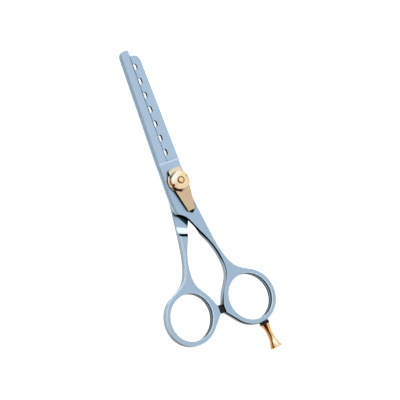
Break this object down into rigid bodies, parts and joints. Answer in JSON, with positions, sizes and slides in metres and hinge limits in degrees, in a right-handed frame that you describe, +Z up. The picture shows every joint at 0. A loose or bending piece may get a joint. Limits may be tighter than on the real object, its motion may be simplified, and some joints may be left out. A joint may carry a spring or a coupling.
{
  "type": "thinning shears",
  "caption": "Hairdresser's thinning shears: plain and notched blades on an adjustable pivot with leaf spring, oval finger rings, rubber bumper and screw-in finger rest.",
  "frame": {"origin": "on the pivot axis, at the flat underside of the thumb half", "axes": "+Y to the blade tips, +X to the finger ring side, +Z up through the tension nut"},
  "size_m": [0.0606, 0.1667, 0.0099],
  "materials": {
    "steel": "satin ground stainless steel",
    "gold_plate": "polished gold plating",
    "spring_bronze": "satin gold plated spring steel",
    "nylon": "natural nylon",
    "black_rubber": "black rubber"
  },
  "bodies": {
    "thumb_half": {"thumb_blade": "steel", "pivot_screw": "gold_plate", "glide_washer": "nylon", "bumper": "black_rubber"},
    "finger_half": {"finger_blade": "steel", "pivot_bushing": "nylon", "spring_washer": "gold_plate", "tension_spring": "spring_bronze"},
    "nut": {"pivot_nut": "gold_plate"},
    "finger_rest": {"finger_rest": "gold_plate", "finger_rest_washer": "black_rubber"}
  },
  "joints": [
    {"name": "blade_pivot", "type": "hinge", "parent": "thumb_half", "child": "finger_half", "pos_m": [0, 0, 0.00275], "axis": [0, 0, 1], "range_deg": [0, 100]},
    {"name": "nut_turn", "type": "hinge", "parent": "thumb_half", "child": "nut", "pos_m": [0, 0, 0.007], "axis": [0, 0, 1], "range_deg": [-180, 180]},
    {"name": "finger_rest_turn", "type": "hinge", "parent": "finger_half", "child": "finger_rest", "pos_m": [0.0182, -0.0809, 0.0033], "axis": [0.1219, -0.9925, 0], "range_deg": [0, 360]}
  ]
}
